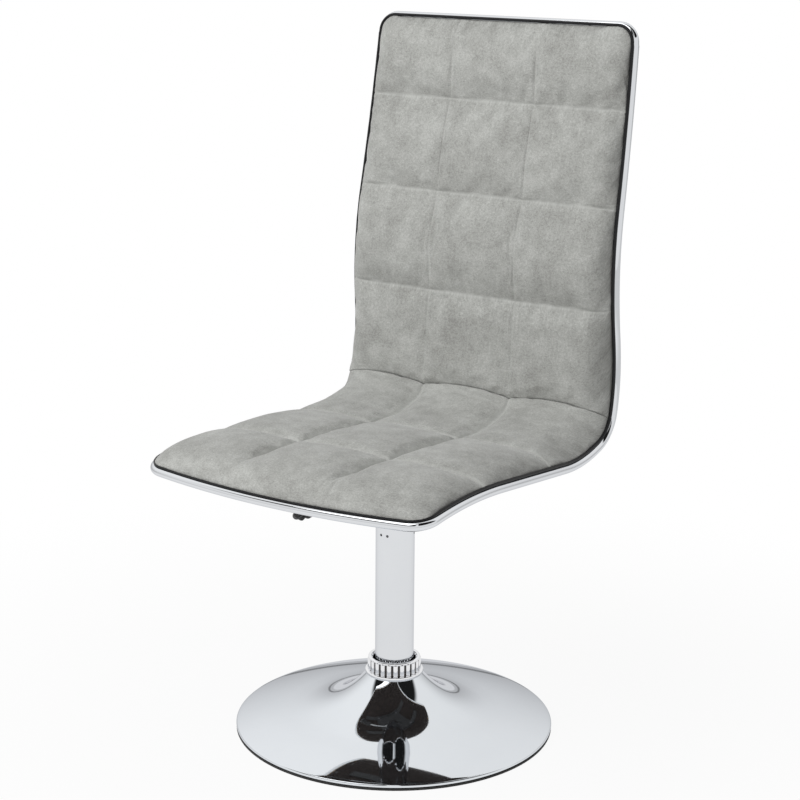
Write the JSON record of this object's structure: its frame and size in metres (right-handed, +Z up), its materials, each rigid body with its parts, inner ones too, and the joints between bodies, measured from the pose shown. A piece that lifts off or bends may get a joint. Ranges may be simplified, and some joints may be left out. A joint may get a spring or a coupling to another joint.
{
  "type": "swivel dining chair",
  "caption": "Height-adjustable swivel dining chair: grey tufted one-piece seat and back in a chrome bar, black piping, gas-lift column on a chrome trumpet foot.",
  "frame": {"origin": "centre of the floor ring, on the floor, on the column axis", "axes": "+Z up, the sitter faces -Y, +X is on the sitter's left"},
  "size_m": [0.416, 0.5142, 0.8954],
  "materials": {
    "chrome": "mirror-bright chrome plate on steel, slightly soft in reflections",
    "black_rubber": "dull black moulded rubber",
    "dark_steel": "phosphated dark steel, dull",
    "bright_steel": "zinc-bright or ground steel",
    "black_paint": "fine-grained black powder coat",
    "black_plastic": "moulded black plastic, faint grain",
    "brass_cage": "stamped brass",
    "bent_plywood": "bent plywood, sanded, unvarnished",
    "black_cloth": "thin black non-woven dust cloth",
    "grey_suede": "mottled grey brushed microfibre with a worn suede look and stitched seams",
    "black_piping": "glossy black coated welting, slightly wavy"
  },
  "bodies": {
    "base": {"base_foot": "chrome", "floor_ring": "black_rubber", "ballast_disc": "dark_steel", "base_socket": "dark_steel", "collar_ring": "chrome", "column_tube": "chrome", "column_bush": "black_plastic", "bush_pins": "dark_steel", "column_end_plate": "dark_steel", "lower_race": "bright_steel"},
    "spindle": {"upper_race": "bright_steel", "thrust_balls": "bright_steel", "ball_cage": "brass_cage", "piston_rod": "bright_steel", "retaining_clip": "dark_steel", "piston": "dark_steel"},
    "seat": {"gas_cylinder": "black_paint", "rod_gland": "black_plastic", "taper_socket": "black_paint", "seat_plate": "black_paint", "plate_bolts": "dark_steel", "tee_nuts": "bright_steel", "cross_rails": "black_paint", "frame_bar": "chrome", "shell_board": "bent_plywood", "seat_lining": "black_cloth", "frame_tabs": "dark_steel", "tab_screws": "bright_steel", "back_cover": "grey_suede", "seat_cushion": "grey_suede", "back_cushion": "grey_suede", "edge_piping": "black_piping", "lever_pin": "bright_steel"},
    "lever": {"lever_arm": "bright_steel", "lever_grip": "black_plastic"},
    "valve": {"valve_pin": "bright_steel"}
  },
  "joints": [
    {"name": "swivel", "type": "hinge", "parent": "base", "child": "spindle", "pos_m": [0, 0, 0.012], "axis": [0, 0, 1], "continuous": true},
    {"name": "lift", "type": "slide", "parent": "spindle", "child": "seat", "axis": [0, 0, 1], "range_m": [0, 0.1]},
    {"name": "lever", "type": "hinge", "parent": "seat", "child": "lever", "pos_m": [-0.032, 0, 0.34855], "axis": [0, 1, 0], "range_deg": [0, 7], "stiffness_Nm_per_rad": 3, "springref_deg": -2.86},
    {"name": "valve", "type": "slide", "parent": "seat", "child": "valve", "axis": [0, 0, -1], "range_m": [0, 0.004]}
  ],
  "couplings": [
    {"joint": "valve", "follows": "lever", "m_per_rad": 0.032}
  ]
}
